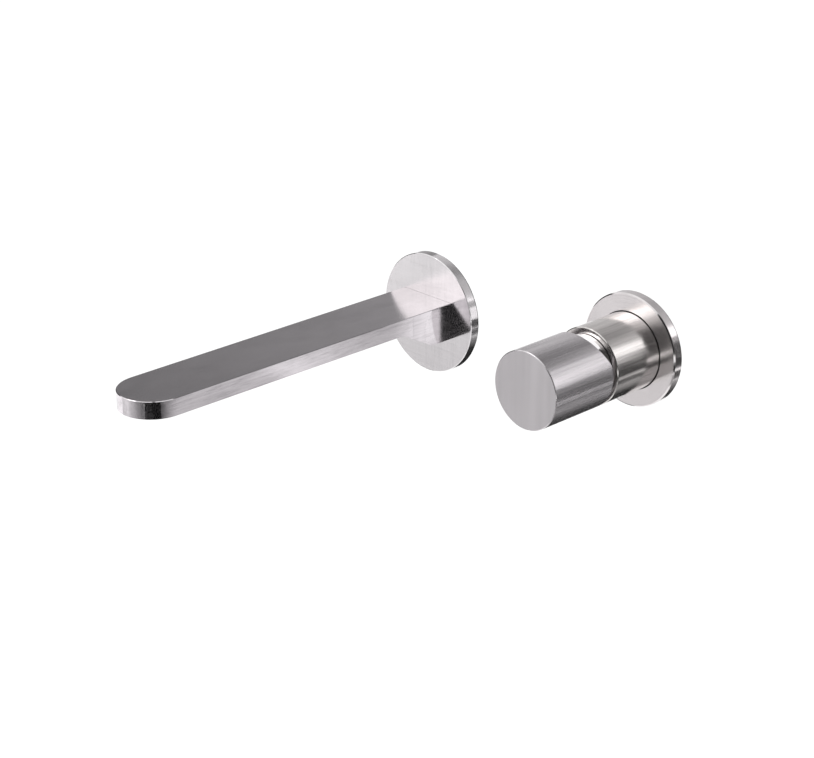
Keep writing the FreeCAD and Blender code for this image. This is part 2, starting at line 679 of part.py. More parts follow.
# Places that the handle's pieces share. The radii grow outwards from the cartridge to the flange,
# and the reaches add up from the cartridge's seat to the knob.
cartridge_bore = cartridge_radius + fit_gap
cavity_radius = cartridge_radius - housing_wall
fixed_disc_radius = cavity_radius - cavity_gap
carrier_radius = cavity_radius - disc_rest - disc_margin
housing_boss_radius = guide_boss_radius + run_gap + housing_boss_wall
nut_radius = cartridge_radius + nut_wall
nut_bore = nut_radius + thread_gap
barrel_radius = nut_bore + barrel_wall
sleeve_bore = barrel_radius + barrel_gap
sleeve_radius = sleeve_bore + sleeve_wall
lip_radius = sleeve_bore - lip_width
handle_flange_radius = sleeve_radius + flange_overhang
flange_inner = handle_flange_radius - handle_flange_rim
plate_radius = flange_inner - plate_gap
screw_circle = plate_radius - screw_margin
cover_radius = lip_radius - cover_gap
insert_radius = sleeve_radius - knob_wall
rear_bore = sleeve_radius - rear_wall
floor_top = seat_reach + housing_floor
fixed_top = floor_top + disc_height
moving_top = fixed_top + disc_height
carrier_top = moving_top + carrier_height
guide_back = carrier_top + slide_gap
guide_shoulder = guide_back + guide_height
ball_reach = moving_top + socket_floor + socket_gap + ball_radius
pivot_reach = ball_reach + ball_arm
guide_reach = pivot_reach + guide_nose
housing_reach = guide_reach - housing_setback
shoulder_reach = housing_reach - housing_boss_length
barrel_reach = shoulder_reach + nut_engagement
nut_reach = barrel_reach + nut_proud
sleeve_reach = nut_reach + mouth_rise
cover_reach = sleeve_reach + cover_proud
knob_back = sleeve_reach + knob_gap
insert_back = knob_back + insert_setback
knob_front = knob_back + knob_length
lever_reach = knob_back + lever_engagement

# Handle flange: a turned cup that hides the valve body's wall plate. The sleeve comes out of its
# hole with a narrow dark gap, and a ring in the hole grips the sleeve.
hole_radius = sleeve_radius + shadow_gap
face_back = flange_thickness - handle_flange_face
ring_seat = face_back + handle_flange_face / 2
ring_seat_radius = sleeve_radius + (flange_ring_wire + groove_squeeze) * 2
handle_flange = new_body("handle_flange", True)
cup = turned(handle_flange, "Cup", (
    (flange_inner, gasket_height),
    (handle_flange_radius, gasket_height),
    (handle_flange_radius, flange_thickness),
    (hole_radius, flange_thickness),
    (hole_radius, ring_seat),
    (ring_seat_radius, ring_seat),
    (ring_seat_radius, face_back),
    (flange_inner, face_back),
))
chamfer_edges(handle_flange, "FrontEdge", cup, handle_flange_edge, lambda edge: is_round_edge(
    edge, handle_flange_radius.number, -flange_thickness.number))
pieces.append(handle_flange)

handle_gasket = new_body("handle_flange_gasket", True)
turned(handle_gasket, "Ring", (
    (flange_inner, 0),
    (handle_flange_radius - gasket_inset, 0),
    (handle_flange_radius - gasket_inset, gasket_height),
    (flange_inner, gasket_height),
))
pieces.append(handle_gasket)

pieces.append(ring_group(
    "handle_flange_oring", flange_ring_wire, sleeve_radius + groove_squeeze + flange_ring_wire,
    (ring_seat - flange_ring_wire,), True))

# Valve body: turned brass with a wall plate, a barrel for the cartridge and three ports at the back.
barrel_groove = sleeve_bore - (sleeve_ring_wire + groove_squeeze) * 2
barrel_ring_half = sleeve_ring_wire + groove_squeeze
rear_ring = sleeve_ring_reach
front_ring = shoulder_reach - sleeve_ring_setback
valve = new_body("valve_body", True)
turned(valve, "Casting", (
    (0, -shank_length),
    (shank_radius, -shank_length),
    (shank_radius, 0),
    (plate_radius, 0),
    (plate_radius, plate_height),
    (barrel_radius, plate_height),
    (barrel_radius, rear_ring - barrel_ring_half),
    (barrel_groove, rear_ring - barrel_ring_half),
    (barrel_groove, rear_ring + barrel_ring_half),
    (barrel_radius, rear_ring + barrel_ring_half),
    (barrel_radius, front_ring - barrel_ring_half),
    (barrel_groove, front_ring - barrel_ring_half),
    (barrel_groove, front_ring + barrel_ring_half),
    (barrel_radius, front_ring + barrel_ring_half),
    (barrel_radius, barrel_reach),
    (nut_bore, barrel_reach),
    (nut_bore, shoulder_reach),
    (cartridge_bore, shoulder_reach),
    (cartridge_bore, seat_reach),
    (0, seat_reach),
))
thread_plan = new_sketch(valve, "PortThread", "XZ_Plane", -shank_length)
add_circle(thread_plan, 0, port_circle, port_thread)
thread_cut = pushed(valve, "Pocket", "PortThreadCut", thread_plan, port_thread_length, reverse=True)
polar_copies(valve, "PortThreads", thread_cut, "Y_Axis", port_count)
port_plan = new_sketch(valve, "PortBore", "XZ_Plane", seat_reach)
add_circle(port_plan, 0, port_circle, port_bore)
port_cut = pushed(valve, "Pocket", "PortBoreCut", port_plan, seat_reach)
polar_copies(valve, "PortBores", port_cut, "Y_Axis", port_count)
screw_plan = new_sketch(valve, "ScrewHole", "XZ_Plane", plate_height)
add_circle(screw_plan, 0, screw_circle, screw_hole)
screw_cut = pushed(valve, "Pocket", "ScrewHoleCut", screw_plan, plate_height)
polar_copies(valve, "ScrewHoles", screw_cut, "Y_Axis", screw_count)
doc.recompute()
chamfer_edges(valve, "ScrewSinks", valve.Tip, screw_sink - screw_hole, lambda edge: (
    edge.Curve.TypeId == "Part::GeomCircle"
    and abs(edge.Curve.Radius - screw_hole.number) < 1e-4
    and abs(edge.Curve.Center.y + plate_height.number) < 1e-4
    and edge.Curve.Center.sub(Vector(0, edge.Curve.Center.y, 0)).Length > barrel_radius.number
))
pieces.append(valve)

# Sleeve: a stainless tube that stands on the wall plate, with an inner lip at its mouth.
sleeve = new_body("sleeve", True)
tube = turned(sleeve, "Tube", (
    (sleeve_bore, plate_height),
    (sleeve_radius, plate_height),
    (sleeve_radius, sleeve_reach),
    (lip_radius, sleeve_reach),
    (lip_radius, sleeve_reach - sleeve_lip),
    (sleeve_bore, sleeve_reach - sleeve_lip),
))
chamfer_edges(sleeve, "FrontEdge", tube, sleeve_edge, lambda edge: is_round_edge(
    edge, sleeve_radius.number, -sleeve_reach.number))
pieces.append(sleeve)

pieces.append(ring_group(
    "sleeve_orings", sleeve_ring_wire, sleeve_bore - groove_squeeze - sleeve_ring_wire,
    (rear_ring, front_ring), True))

# Cartridge: housing, seals, two ceramic discs, the carrier and the lever guide, held by a ring nut.
seal_radius = port_bore + seal_wall
housing = new_body("cartridge_housing", True)
turned(housing, "Shell", (
    (0, seat_reach),
    (cartridge_radius, seat_reach),
    (cartridge_radius, shoulder_reach),
    (housing_boss_radius, shoulder_reach),
    (housing_boss_radius, housing_reach),
    (guide_boss_radius + run_gap, housing_reach),
    (guide_boss_radius + run_gap, guide_shoulder + slide_gap),
    (cavity_radius, guide_shoulder + slide_gap),
    (cavity_radius, floor_top),
    (0, floor_top),
))
seal_plan = new_sketch(housing, "SealHole", "XZ_Plane", floor_top)
add_circle(seal_plan, 0, port_circle, seal_radius + fit_gap)
seal_cut = pushed(housing, "Pocket", "SealHoleCut", seal_plan, housing_floor)
polar_copies(housing, "SealHoles", seal_cut, "Y_Axis", port_count)
pieces.append(housing)

seals = []
for index in range(port_count):
    outer = doc.addObject("Part::Cylinder", "seal_outer_%d" % (index + 1))
    bind(outer, "Radius", seal_radius)
    bind(outer, "Height", housing_floor)
    inner = doc.addObject("Part::Cylinder", "seal_inner_%d" % (index + 1))
    bind(inner, "Radius", port_bore)
    bind(inner, "Height", housing_floor)
    ring = doc.addObject("Part::Cut", "seal_%d" % (index + 1))
    ring.Base = outer
    ring.Tool = inner
    turn = 2 * math.pi * index / port_count
    ring.Placement = FreeCAD.Placement(Vector(0, 0, 0), FreeCAD.Rotation(Vector(1, 0, 0), 90))
    bind(ring, "Placement.Base.x", port_circle * math.sin(turn))
    bind(ring, "Placement.Base.z", port_circle * math.cos(turn))
    bind(ring, "Placement.Base.y", -seat_reach)
    seals.append(ring)
base_seals = doc.addObject("Part::Compound", "base_seals")
base_seals.Label = "base_seals"
base_seals.Links = seals
bind(base_seals, "Placement.Base.x", handle_offset)
bind(base_seals, "Placement.Base.z", handle_rise)
pieces.append(base_seals)

fixed_disc = new_body("fixed_disc", True)
turned(fixed_disc, "Disc", (
    (0, floor_top),
    (fixed_disc_radius, floor_top),
    (fixed_disc_radius, fixed_top),
    (0, fixed_top),
))
disc_port = new_sketch(fixed_disc, "DiscPort", "XZ_Plane", fixed_top)
add_circle(disc_port, 0, port_circle, port_bore)
disc_port_cut = pushed(fixed_disc, "Pocket", "DiscPortCut", disc_port, disc_height)
polar_copies(fixed_disc, "DiscPorts", disc_port_cut, "Y_Axis", port_count)
pieces.append(fixed_disc)

# The recess under the moving disc always meets the outlet port above. When the disc slides down, the
# recess's round part reaches the two inlet ports, and turning the disc favours one of them.
moving_disc = new_body("moving_disc", True)
disc_plan = new_sketch(moving_disc, "DiscPlan", "XZ_Plane", fixed_top)
add_circle(disc_plan, 0, disc_rest, carrier_radius - disc_inset)
pushed(moving_disc, "Pad", "Disc", disc_plan, disc_height)
mixing_plan = new_sketch(moving_disc, "MixingPlan", "XZ_Plane", fixed_top)
add_circle(mixing_plan, 0, 0, port_circle - port_bore - port_lap)
pushed(moving_disc, "Pocket", "MixingRecess", mixing_plan, mixing_depth, reverse=True)
lobe_rise = port_bore - port_lap
lobe_plan = new_sketch(moving_disc, "OutletLobePlan", "XZ_Plane", fixed_top)
add_polygon(lobe_plan, (
    (0, 0),
    (lobe_half, port_circle),
    (lobe_half - lobe_rise, port_circle + lobe_rise),
    (lobe_rise - lobe_half, port_circle + lobe_rise),
    (-lobe_half, port_circle),
))
pushed(moving_disc, "Pocket", "OutletLobe", lobe_plan, mixing_depth, reverse=True)
pieces.append(moving_disc)

carrier = new_body("disc_carrier", True)
carrier_plan = new_sketch(carrier, "CarrierPlan", "XZ_Plane", moving_top)
add_circle(carrier_plan, 0, disc_rest, carrier_radius)
pushed(carrier, "Pad", "Carrier", carrier_plan, carrier_height)
socket_half = ball_radius + socket_gap
socket_plan = new_sketch(carrier, "SocketPlan", "XZ_Plane", carrier_top)
add_rectangle(socket_plan, socket_half, -socket_half, socket_half)
pushed(carrier, "Pocket", "Socket", socket_plan, carrier_top - (ball_reach - ball_radius - socket_gap))
pieces.append(carrier)

guide = new_body("lever_guide", True)
turned(guide, "Rotor", (
    (0, guide_back),
    (cavity_radius - guide_gap, guide_back),
    (cavity_radius - guide_gap, guide_shoulder),
    (guide_boss_radius, guide_shoulder),
    (guide_boss_radius, guide_reach),
    (0, guide_reach),
))
lever_slot = new_sketch(guide, "LeverSlot", "XZ_Plane", guide_reach)
add_rectangle(lever_slot, lever_half + lever_side_gap, -slot_half_height, slot_half_height)
pushed(guide, "Pocket", "LeverSlotCut", lever_slot, None)
pin_hole = new_sketch(guide, "PinHole", "YZ_Plane")
add_circle(pin_hole, -pivot_reach, 0, pin_radius)
pin_cut = pushed(guide, "Pocket", "PinHoleCut", pin_hole, None)
pin_cut.SideType = "Symmetric"
pieces.append(guide)

pin = new_body("lever_pin", True)
pin_half = guide_boss_radius - pin_setback
pin_section = new_sketch(pin, "PinSection", "YZ_Plane", -pin_half)
add_circle(pin_section, -pivot_reach, 0, pin_radius)
pushed(pin, "Pad", "Pin", pin_section, pin_half * 2)
pieces.append(pin)

nut = new_body("cartridge_nut", True)
turned(nut, "RingNut", (
    (housing_boss_radius + slide_gap, shoulder_reach),
    (nut_radius, shoulder_reach),
    (nut_radius, nut_reach),
    (housing_boss_radius + slide_gap, nut_reach),
))
slot_plan = new_sketch(nut, "KeySlot", "XZ_Plane", nut_reach)
add_rectangle(slot_plan, nut_slot / 2, housing_boss_radius, nut_radius + nut_slot)
slot_cut = pushed(nut, "Pocket", "KeySlotCut", slot_plan, nut_slot_depth)
polar_copies(nut, "KeySlots", slot_cut, "Y_Axis", nut_slot_count)
pieces.append(nut)

# Cartridge cover: a turned steel cap. Its foot is clamped between the ring nut and the sleeve's lip,
# and its neck fills the mouth, so that the knob's oblique cut shows steel with a thin dark line round it.
cartridge_cover = new_body("cartridge_cover", True)
turned(cartridge_cover, "Cap", (
    (cover_radius - cover_wall, nut_reach),
    (sleeve_bore - fit_gap, nut_reach),
    (sleeve_bore - fit_gap, sleeve_reach - sleeve_lip),
    (cover_radius, sleeve_reach - sleeve_lip),
    (cover_radius, cover_reach - cover_slope),
    (cover_radius - cover_slope, cover_reach),
    (cover_bore, cover_reach),
    (cover_bore, cover_reach - cover_face),
    (cover_radius - cover_wall - cover_hollow, cover_reach - cover_face),
    (cover_radius - cover_wall, cover_reach - cover_face - cover_hollow),
))
pieces.append(cartridge_cover)

# Lever: one turned and milled stem. Its ball drives the carrier, and its square end holds the knob.
lever = new_body("lever", True)
ball_chord = ball_radius * 0.7071
turned(lever, "Stem", (
    (0, ball_reach - ball_radius),
    (ball_chord, ball_reach - ball_chord),
    (ball_radius, ball_reach),
    (lever_neck, ball_reach + ball_radius),
    (lever_neck, pivot_reach),
    (0, pivot_reach),
))
block = new_sketch(lever, "BlockSection", "XZ_Plane", pivot_reach - block_back)
add_rectangle(block, lever_half, -lever_half, lever_half)
pushed(lever, "Pad", "Block", block, lever_reach - pivot_reach + block_back)
lever_hole = new_sketch(lever, "PinHole", "YZ_Plane")
add_circle(lever_hole, -pivot_reach, 0, pin_radius + run_gap)
lever_hole_cut = pushed(lever, "Pocket", "PinHoleCut", lever_hole, None)
lever_hole_cut.SideType = "Symmetric"
pieces.append(lever)

# Knob: a turned shell, thin round the cartridge's cover. Its rear top is cut off obliquely, so that it
# can tilt up over the sleeve. A plastic insert in its bore holds the lever, and a grub screw locks it.
bore_end = knob_front - insert_front
knob = new_body("knob_shell", True)
turned(knob, "Shell", (
    (0, bore_end),
    (insert_radius, bore_end),
    (insert_radius, insert_back),
    (rear_bore, insert_back),
    (rear_bore, knob_back),
    (sleeve_radius, knob_back),
    (sleeve_radius, knob_front),
    (0, knob_front),
))
relief_top = sleeve_radius * 1.2
relief_run = Size(
    (relief_top.number - relief_rise.number) * math.tan(math.radians(relief_angle.number)),
    "((%s - %s) * tan(%s * 1deg))" % (relief_top.formula, relief_rise.formula, relief_angle.formula))
cut_through_sides(knob, "TiltRelief", (
    (-(knob_back - knob_gap), relief_rise),
    (-knob_back, relief_rise),
    (-(knob_back + relief_run), relief_top),
    (-(knob_back - knob_gap), relief_top),
))
lock_axis = knob_back + knob_lock_setback
knob_lock_plan = new_sketch(knob, "LockHole", "XY_Plane")
add_circle(knob_lock_plan, 0, -lock_axis, knob_lock_radius + fit_gap)
lock_cut = pushed(knob, "Pocket", "LockBore", knob_lock_plan, sleeve_radius * 1.1)
chamfer_edges(knob, "FrontEdge", lock_cut, knob_edge, lambda edge: is_round_edge(
    edge, sleeve_radius.number, -knob_front.number))
pieces.append(knob)

insert = new_body("knob_insert", True)
turned(insert, "Insert", (
    (0, insert_back),
    (insert_radius - fit_gap, insert_back),
    (insert_radius - fit_gap, insert_back + insert_length),
    (0, insert_back + insert_length),
))
socket = new_sketch(insert, "SquareSocket", "XZ_Plane", insert_back)
add_rectangle(socket, lever_half + fit_gap, -(lever_half + fit_gap), lever_half + fit_gap)
pushed(insert, "Pocket", "SquareSocketCut", socket, lever_reach - insert_back + slide_gap, reverse=True)
insert_lock = new_sketch(insert, "LockHole", "XY_Plane")
add_circle(insert_lock, 0, -lock_axis, knob_lock_radius + fit_gap)
pushed(insert, "Pocket", "LockBore", insert_lock, insert_radius * 1.1)
pieces.append(insert)


def on_knob(body):
    """Put an upright piece under the knob's axis."""
    bind(body, "Placement.Base.x", handle_offset)
    bind(body, "Placement.Base.y", -lock_axis)
    bind(body, "Placement.Base.z", handle_rise)


knob_screw = grub_screw(
    "knob_grub_screw", lock_axis, -lever_half, knob_lock_length, knob_lock_radius, lock_key, True)
on_knob(knob_screw)
pieces.append(knob_screw)

plug = new_body("knob_plug", True)
on_knob(plug)
plug_level = Size(
    math.sqrt(sleeve_radius.number ** 2 - knob_lock_radius.number ** 2),
    "sqrt(%s ^ 2 - %s ^ 2)" % (sleeve_radius.formula, knob_lock_radius.formula))
plug_plan = new_sketch(plug, "PlugPlan", "XY_Plane", -plug_level)
add_circle(plug_plan, 0, 0, knob_lock_radius)
pushed(plug, "Pad", "Plug", plug_plan, plug_height)
pieces.append(plug)

# Check the document, then write one file for each piece.
doc.recompute()
for thing in doc.Objects:
    if "Invalid" in thing.State or "Error" in thing.State:
        raise RuntimeError("%s failed: %s" % (thing.Label, thing.State))
    if thing.TypeId in ("PartDesign::Pocket", "PartDesign::Groove"):
        removed = thing.BaseFeature.Shape.Volume - thing.Shape.Volume
        if removed < 1e-3:
            raise RuntimeError("%s cuts nothing" % thing.Label)

os.makedirs("parts", exist_ok=True)
for piece in pieces:
    shape = piece.Shape
    if shape.isNull() or not shape.isValid():
        raise RuntimeError("%s has no valid shape" % piece.Label)
    shape.exportStep(os.path.join("parts", piece.Label + ".step"))
    box = shape.BoundBox
    print("%-22s solids %d  volume %9.1f  x %.2f..%.2f  y %.2f..%.2f  z %.2f..%.2f" % (
        piece.Label, len(shape.Solids), shape.Volume,
        box.XMin, box.XMax, box.YMin, box.YMax, box.ZMin, box.ZMax))
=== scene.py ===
import math

import bmesh
import bpy
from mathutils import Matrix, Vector


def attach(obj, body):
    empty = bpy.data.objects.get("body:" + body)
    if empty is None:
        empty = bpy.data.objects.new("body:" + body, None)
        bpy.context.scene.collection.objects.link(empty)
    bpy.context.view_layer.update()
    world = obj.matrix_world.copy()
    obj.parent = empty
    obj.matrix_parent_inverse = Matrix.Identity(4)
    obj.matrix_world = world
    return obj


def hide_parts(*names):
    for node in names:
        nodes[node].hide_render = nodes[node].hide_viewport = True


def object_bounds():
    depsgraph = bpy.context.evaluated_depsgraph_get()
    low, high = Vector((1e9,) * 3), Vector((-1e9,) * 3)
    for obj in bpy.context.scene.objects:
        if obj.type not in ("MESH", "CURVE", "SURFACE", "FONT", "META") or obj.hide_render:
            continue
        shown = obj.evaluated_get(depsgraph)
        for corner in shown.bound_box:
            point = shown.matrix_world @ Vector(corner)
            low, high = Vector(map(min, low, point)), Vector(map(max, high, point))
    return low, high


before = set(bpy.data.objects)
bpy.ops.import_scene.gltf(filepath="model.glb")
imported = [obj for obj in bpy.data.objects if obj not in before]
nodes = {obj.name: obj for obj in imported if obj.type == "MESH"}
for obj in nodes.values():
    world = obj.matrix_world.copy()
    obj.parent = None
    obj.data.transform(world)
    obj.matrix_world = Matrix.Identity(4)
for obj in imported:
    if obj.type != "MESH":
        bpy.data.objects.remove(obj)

cad_low, cad_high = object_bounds()


# Camera: it looks at the mixer from the right and a little above, as in a shop photograph.
# Its place is given as a heading round the mixer, a rise and a distance from the aimed point.
camera_heading = math.radians(46.08)
camera_rise = math.radians(22.55)
camera_distance = 0.9604
aimed_point = Vector((0.0420, -0.0600, -0.0070))
towards_camera = Vector((
    math.sin(camera_heading) * math.cos(camera_rise),
    -math.cos(camera_heading) * math.cos(camera_rise),
    math.sin(camera_rise),
))
camera_data = bpy.data.cameras.new("camera")
camera_data.sensor_width = 36.0
camera_data.lens = 91.96
camera = bpy.data.objects.new("camera", camera_data)
camera.location = aimed_point + towards_camera * camera_distance
camera.rotation_euler = towards_camera.to_track_quat("Z", "Y").to_euler()
bpy.context.scene.collection.objects.link(camera)
bpy.context.scene.camera = camera
bpy.context.scene.view_settings.view_transform = "Standard"


# Studio: a pale room and floor with one soft lamp. The mixer hangs above the floor as it would on
# its wall. Grey cloths and white panels stand round it only in the steel's reflections.
class Signal:
    """A socket of a node tree. Sums, differences and products add Math nodes to the tree."""

    def __init__(self, tree, socket=None):
        self.tree = tree
        self.socket = socket

    def node(self, kind, settings=None, inputs=None, output=0):
        """Add any node: its settings first, then the values or links of its sockets."""
        made = self.tree.nodes.new(kind)
        for name, value in (settings or {}).items():
            setattr(made, name, value)
        for name, value in (inputs or {}).items():
            if isinstance(value, Signal):
                self.tree.links.new(value.socket, made.inputs[name])
            else:
                made.inputs[name].default_value = value
        return Signal(self.tree, made.outputs[output] if made.outputs else None)

    def maths(self, operation, first, second=0.0):
        return self.node("ShaderNodeMath", {"operation": operation}, {0: first, 1: second})

    def __add__(self, other):
        return self.maths("ADD", self, other)

    def __radd__(self, other):
        return self.maths("ADD", other, self)

    def __sub__(self, other):
        return self.maths("SUBTRACT", self, other)

    def __rsub__(self, other):
        return self.maths("SUBTRACT", other, self)

    def __mul__(self, other):
        return self.maths("MULTIPLY", self, other)

    def __rmul__(self, other):
        return self.maths("MULTIPLY", other, self)

    def ramp(self, low, high, start=0.0, end=1.0, shape="SMOOTHSTEP"):
        """From start to end as this value goes from low to high."""
        inputs = {"Value": self, "From Min": low, "From Max": high, "To Min": start, "To Max": end}
        return self.node("ShaderNodeMapRange", {"interpolation_type": shape}, inputs)

    def blend(self, first, second):
        """The first colour where this value is 0, and the second where it is 1."""
        factor, colour_a, colour_b, colour_result = 0, 6, 7, 2
        inputs = {factor: self, colour_a: first, colour_b: second}
        return self.node("ShaderNodeMix", {"data_type": "RGBA"}, inputs, colour_result)


floor_level = -0.30
room_light = 0.75
floor_glow = 0.40
floor_shade = 0.86


def seen_rays(tree):
    """One for rays that end in the picture straight, by reflection or through glass."""
    camera_ray = Signal(tree).node("ShaderNodeLightPath", output="Is Camera Ray")
    outputs = camera_ray.socket.node.outputs
    glossy_ray = Signal(tree, outputs["Is Glossy Ray"])
    transmitted_ray = Signal(tree, outputs["Is Transmission Ray"])
    return (camera_ray + glossy_ray + transmitted_ray).ramp(0.0, 1.0)


room = bpy.data.worlds.new("room")
room.use_nodes = True
room.node_tree.nodes.clear()
bpy.context.scene.world = room
room_seen = seen_rays(room.node_tree).ramp(0.0, 1.0, room_light, 1.0)
room_shader = room_seen.node("ShaderNodeBackground", None, {"Color": (1, 1, 1, 1), "Strength": room_seen})
room_shader.node("ShaderNodeOutputWorld", None, {"Surface": room_shader})

bpy.ops.object.select_all(action="DESELECT")
bpy.ops.mesh.primitive_plane_add(size=12.0, location=(0, 0, floor_level))
floor = bpy.context.object
floor.name = "floor"
floor_paint = bpy.data.materials.new("floor_paint")
floor_paint.use_nodes = True
floor_paint.node_tree.nodes.clear()
floor_seen = seen_rays(floor_paint.node_tree)
floor_light = floor_seen.node("ShaderNodeEmission", None, {
    "Color": (1, 1, 1, 1), "Strength": floor_seen * floor_glow})
floor_matt = floor_seen.node("ShaderNodeBsdfDiffuse", None, {
    "Color": (floor_shade, floor_shade, floor_shade, 1)})
floor_sum = floor_seen.node("ShaderNodeAddShader", None, {0: floor_light, 1: floor_matt})
floor_sum.node("ShaderNodeOutputMaterial", None, {"Surface": floor_sum})
floor.data.materials.append(floor_paint)


cloth_white = (1.0, 0.985, 0.995)
cream = (1.0, 0.98, 0.968)


def shaded(tone, share):
    """A tone made darker or brighter by one share."""
    return tuple(channel * share for channel in tone)


def reflected_sheet(name, corners, axis, ends, glows, tint=cloth_white):
    """A flat sheet that only reflections show. Along an axis, its glow goes from one value to another
    between two ends. A glow of 1 is white."""
    mesh = bpy.data.meshes.new(name)
    mesh.from_pydata(corners, [], [tuple(range(len(corners)))])
    sheet = bpy.data.objects.new(name, mesh)
    bpy.context.scene.collection.objects.link(sheet)
    cloth = bpy.data.materials.new(name)
    cloth.use_nodes = True
    cloth.node_tree.nodes.clear()
    place = Signal(cloth.node_tree).node("ShaderNodeTexCoord", output="Object")
    along = place.node("ShaderNodeSeparateXYZ", None, {"Vector": place}, output=axis)
    first, second = (shaded(tint, glow) + (1.0,) for glow in glows)
    colour = along.ramp(ends[0], ends[1], shape="LINEAR").blend(first, second)
    light = colour.node("ShaderNodeEmission", None, {"Color": colour})
    light.node("ShaderNodeOutputMaterial", None, {"Surface": light})
    mesh.materials.append(cloth)
    sheet.visible_camera = False
    sheet.visible_diffuse = False
    sheet.visible_shadow = False


def standing_sheet(name, sides, heights, depth, glows, axis="Z", tint=cloth_white):
    """A sheet that stands across the room."""
    (left, right), (low, high) = sides, heights
    corners = [(left, depth, low), (right, depth, low), (right, depth, high), (left, depth, high)]
    reflected_sheet(name, corners, axis, heights if axis == "Z" else sides, glows, tint)


def lying_sheet(name, sides, depths, glows, axis="Y", lift=0.004):
    """A sheet that lies on the floor."""
    (left, right), (near, far) = sides, depths
    level = floor_level + lift
    corners = [(left, near, level), (right, near, level), (right, far, level), (left, far, level)]
    reflected_sheet(name, corners, axis, depths if axis == "Y" else sides, glows)


# Behind: grey cloths for the top faces, and in front of them white panels for the bright bands of
# the knob, the sleeve and the rims, with darker cloths below and pale strips for the bar's side.
back_wall, panel_wall = 0.360, 0.350
standing_sheet("back_cloth", (-1.4, -0.33), (-0.03, 0.42), back_wall, (0.46, 0.185))
standing_sheet("back_cloth_high", (-1.4, 1.3), (0.42, 0.95), back_wall + 0.001, (0.19, 0.22))
standing_sheet("middle_cloth", (-0.33, 0.08), (-0.03, 0.43), back_wall, (0.70, 0.45), "X")
standing_sheet("middle_cloth_right", (0.08, 0.40), (-0.03, 0.43), back_wall, (0.45, 0.64), "X")
standing_sheet("right_back_cloth", (0.40, 1.3), (0.02, 0.42), back_wall, (0.40, 0.50))
standing_sheet("sleeve_panel", (0.38, 0.50), (0.165, 0.40), panel_wall, (1.70, 1.35))
standing_sheet("knob_panel", (0.545, 0.64), (0.05, 0.30), panel_wall, (2.15, 2.15))
standing_sheet("rim_panel", (0.36, 0.436), (-0.08, 0.08), panel_wall, (1.20, 1.30))
standing_sheet("dark_gap", (0.447, 0.555), (-0.13, 0.105), panel_wall - 0.002, (0.04, 0.05))
standing_sheet("right_low_cloth", (0.545, 1.3), (floor_level, 0.05), panel_wall + 0.003, (0.22, 0.26))
standing_sheet("dark_low_cloth", (0.30, 0.62), (floor_level, -0.08), panel_wall + 0.002, (0.08, 0.08))
bar_strip_outline = ((0.42, -0.197), (0.61, -0.294), (0.61, -0.296), (0.53, -0.296), (0.42, -0.237))
neck_strip_outline = ((0.36, -0.168), (0.42, -0.197), (0.42, -0.237), (0.36, -0.208))
bar_strip_corners = [(x, panel_wall, z) for x, z in bar_strip_outline]
neck_strip_corners = [(x, panel_wall, z) for x, z in neck_strip_outline]
reflected_sheet("bar_strip", bar_strip_corners, "X", (0.43, 0.58), (0.55, 1.32))
reflected_sheet("neck_strip", neck_strip_corners, "X", (0.34, 0.42), (1.20, 1.20))
lying_sheet("back_floor_left", (-0.60, 0.12), (0.10, 0.355), (0.01, 0.03), "X")
lying_sheet("back_floor_middle", (0.12, 0.33), (0.10, 0.355), (0.05, 0.40), "X")
lying_sheet("back_floor_right", (0.33, 0.53), (0.10, 0.349), (0.28, 0.28))
lying_sheet("right_floor_cloth", (0.53, 1.00), (-0.42, 0.349), (0.06, 0.74))

# In front: the black cloth that the tip and the neck show, grey ones beside it, the pale floor that
# the flanges' and the knob's faces show, a dark side of the room and white panels above.
front_wall, side_wall, left_wall, far_wall = -0.80, -0.45, -1.00, -1.40
bar_half_width = 0.0163
tip_centre_y = cad_low[1] + bar_half_width
black_cloth_level = floor_level + 0.008


def floor_arc(radius, first, last, steps):
    """Points on the floor along an arc about the middle of the spout's tip, in degrees."""
    points = []
    for step in range(steps + 1):
        turn = math.radians(first + (last - first) * step / steps)
        across, along = radius * math.cos(turn), radius * math.sin(turn)
        points.append((across, tip_centre_y + along, black_cloth_level))
    return points


black_rim = floor_arc(0.56, -43, -16, 4) + floor_arc(1.05, -16, -66, 8) + floor_arc(0.60, -66, -43, 4)
reflected_sheet("black_cloth", black_rim, "Y", (-1.0, 0.0), (0.003, 0.003))
lying_sheet("front_floor_cloth", (-0.40, 0.30), (-1.20, -0.79), (0.76, 0.04), "X")
lying_sheet("left_floor_cloth", (-1.00, -0.10), (-1.00, -0.40), (1.00, 0.68), lift=0.003)
lying_sheet("far_left_floor_cloth", (-0.90, -0.59), (-0.56, -0.20), (1.20, 1.20), lift=0.006)
lying_sheet("near_floor_cloth", (0.05, 0.50), (-0.50, -0.15), (0.42, 0.42))
dark_side_outline = ((0.29, 1.20), (1.60, 1.20), (1.60, -0.06), (0.50, -0.06),
                     (0.49, 0.14), (0.42, 0.22), (0.33, 0.28), (0.29, 0.33))
left_cloth_outline = ((-0.60, -0.28), (0.35, -0.28), (0.35, 0.50), (-0.60, 0.50))
dark_side_corners = [(x, side_wall, z) for x, z in dark_side_outline]
left_cloth_corners = [(left_wall, y, z) for y, z in left_cloth_outline]
reflected_sheet("dark_side", dark_side_corners, "Z", (-0.06, 1.20), (0.03, 0.05))
reflected_sheet("left_cloth", left_cloth_corners, "Z", (-0.28, 0.50), (0.04, 0.04))
standing_sheet("far_right_cloth", (0.30, 2.40), (-0.20, 1.40), far_wall, (0.40, 0.45))
standing_sheet("front_panel", (-1.30, -0.78), (0.24, 0.85), front_wall, (1.10, 1.30), "X", cream)
standing_sheet("front_panel_right", (-0.78, -0.35), (0.24, 0.85), front_wall, (1.30, 3.30), "X", cream)

